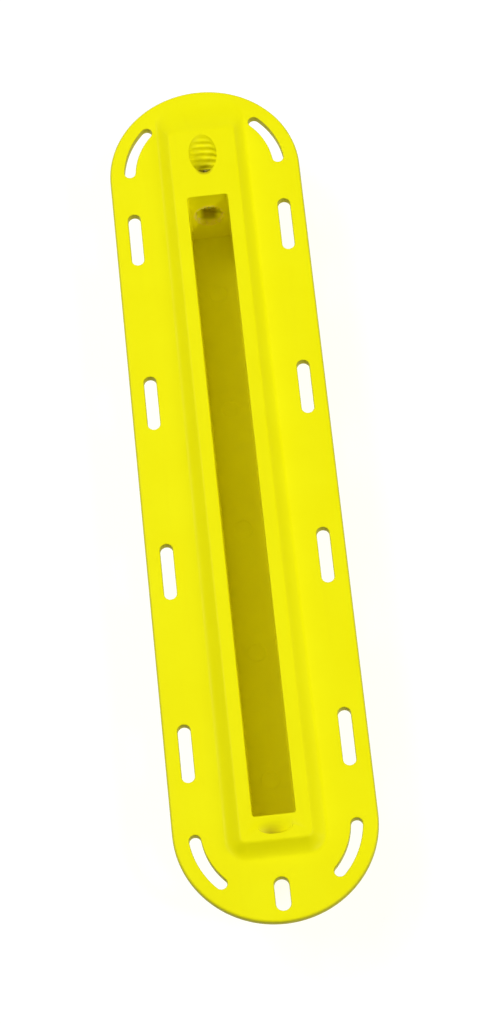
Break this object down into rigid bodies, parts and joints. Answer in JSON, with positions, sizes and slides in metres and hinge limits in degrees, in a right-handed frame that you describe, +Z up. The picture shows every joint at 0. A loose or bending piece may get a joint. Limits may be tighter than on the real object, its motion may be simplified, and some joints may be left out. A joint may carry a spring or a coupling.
{
  "type": "surfboard fin box",
  "caption": "One-piece moulded surfboard fin box: a slotted flange with a deep central slot for a fin's base, and a slanted grub screw at its nose end that clamps the fin.",
  "frame": {"origin": "middle of the flange's length and width, at the level of the keel's flat underside", "axes": "+Z up out of the slot, +Y from the tail end to the nose end where the grub screw is, X across"},
  "size_m": [0.033, 0.154, 0.0163],
  "materials": {
    "yellow_plastic": "satin injection-moulded",
    "stainless_steel": "bright machined"
  },
  "bodies": {
    "moulding": {"fin_box": "yellow_plastic"},
    "screw": {"grub_screw": "stainless_steel"}
  },
  "joints": [
    {"name": "screw_drive", "type": "slide", "parent": "moulding", "child": "screw", "axis": [0, -0.7771, -0.6293], "range_m": [-0.00106, 0.00423]}
  ]
}
